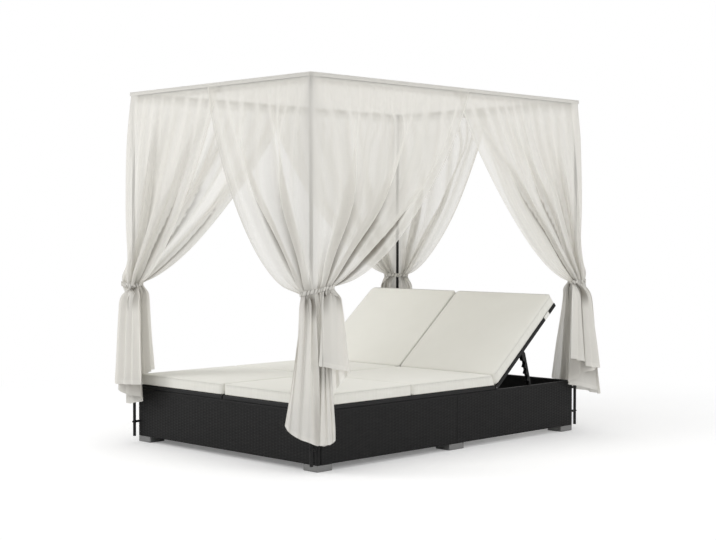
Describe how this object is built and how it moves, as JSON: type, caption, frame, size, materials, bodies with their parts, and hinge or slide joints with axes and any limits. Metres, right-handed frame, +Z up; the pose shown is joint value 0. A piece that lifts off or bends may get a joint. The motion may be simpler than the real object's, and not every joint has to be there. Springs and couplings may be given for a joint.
{
  "type": "outdoor daybed with canopy",
  "caption": "Double outdoor daybed: wicker box base, raising backrests on notched supports, cream mattresses, and a pole canopy with tied sheer curtains.",
  "frame": {"origin": "on the floor, under the centre of the base box: midway between its side faces and between its foot and head faces", "axes": "+Y along the bed from the foot end to the head end, +X across it to the right of a sleeper looking from the head end's rear, +Z up"},
  "size_m": [1.533, 2.167, 1.8043],
  "materials": {
    "wicker": "black flat synthetic rattan strip, tightly woven in upright columns, satin",
    "block_feet": "satin grey metal",
    "black_steel": "black powder coat, satin",
    "zinc_fixings": "dulled zinc plate",
    "mattress_cloth": "matt cream woven polyester cover over foam",
    "sheer_cloth": "thin cream polyester voile, matt, lets light through"
  },
  "bodies": {
    "base": {"foot_panel": "wicker", "head_panel": "wicker", "side_panel_foot_left": "wicker", "corner_post_foot_left": "wicker", "foot_block_foot_left": "block_feet", "side_panel_head_left": "wicker", "corner_post_head_left": "wicker", "foot_block_head_left": "block_feet", "foot_block_middle_left": "block_feet", "side_panel_foot_right": "wicker", "corner_post_foot_right": "wicker", "foot_block_foot_right": "block_feet", "side_panel_head_right": "wicker", "corner_post_head_right": "wicker", "foot_block_head_right": "block_feet", "foot_block_middle_right": "block_feet", "centre_rail": "black_steel", "cross_rail": "black_steel", "catch_rod": "black_steel", "seat_frame_left": "black_steel", "hinge_rod_left": "zinc_fixings", "mattress_seat_left": "mattress_cloth", "seat_frame_right": "black_steel", "hinge_rod_right": "zinc_fixings", "mattress_seat_right": "mattress_cloth", "pole_foot_left": "black_steel", "connector_foot_left": "black_steel", "bolt_low_foot_left": "zinc_fixings", "bolt_high_foot_left": "zinc_fixings", "pole_foot_right": "black_steel", "connector_foot_right": "black_steel", "bolt_low_foot_right": "zinc_fixings", "bolt_high_foot_right": "zinc_fixings", "pole_head_left": "black_steel", "connector_head_left": "black_steel", "bolt_low_head_left": "zinc_fixings", "bolt_high_head_left": "zinc_fixings", "pole_head_right": "black_steel", "connector_head_right": "black_steel", "bolt_low_head_right": "zinc_fixings", "bolt_high_head_right": "zinc_fixings", "top_tube_foot": "black_steel", "top_tube_head": "black_steel", "top_tube_left": "black_steel", "top_tube_right": "black_steel", "roof_cloth": "sheer_cloth", "curtain_foot_left": "sheer_cloth", "tie_band_foot_left": "sheer_cloth", "curtain_foot_right": "sheer_cloth", "tie_band_foot_right": "sheer_cloth", "curtain_head_left": "sheer_cloth", "tie_band_head_left": "sheer_cloth", "curtain_head_right": "sheer_cloth", "tie_band_head_right": "sheer_cloth"},
    "backrest_left": {"backrest_frame_left": "black_steel", "mattress_back_left": "mattress_cloth"},
    "support_left": {"support_left": "black_steel"},
    "backrest_right": {"backrest_frame_right": "black_steel", "mattress_back_right": "mattress_cloth"},
    "support_right": {"support_right": "black_steel"}
  },
  "joints": [
    {"name": "backrest_left_hinge", "type": "hinge", "parent": "base", "child": "backrest_left", "pos_m": [-0.34, 0.316, 0.2853], "axis": [1, 0, 0], "range_deg": [-40, 0]},
    {"name": "support_left_pivot", "type": "hinge", "parent": "backrest_left", "child": "support_left", "pos_m": [-0.34, 0.55353, 0.46894], "axis": [1, 0, 0], "range_deg": [0, 107.93]},
    {"name": "backrest_right_hinge", "type": "hinge", "parent": "base", "child": "backrest_right", "pos_m": [0.34, 0.316, 0.2853], "axis": [1, 0, 0], "range_deg": [-40, 0]},
    {"name": "support_right_pivot", "type": "hinge", "parent": "backrest_right", "child": "support_right", "pos_m": [0.34, 0.55353, 0.46894], "axis": [1, 0, 0], "range_deg": [0, 107.93]}
  ],
  "couplings": [
    {"joint": "support_left_pivot", "follows": "backrest_left_hinge", "ratio": -2.698},
    {"joint": "support_right_pivot", "follows": "backrest_right_hinge", "ratio": -2.698}
  ]
}
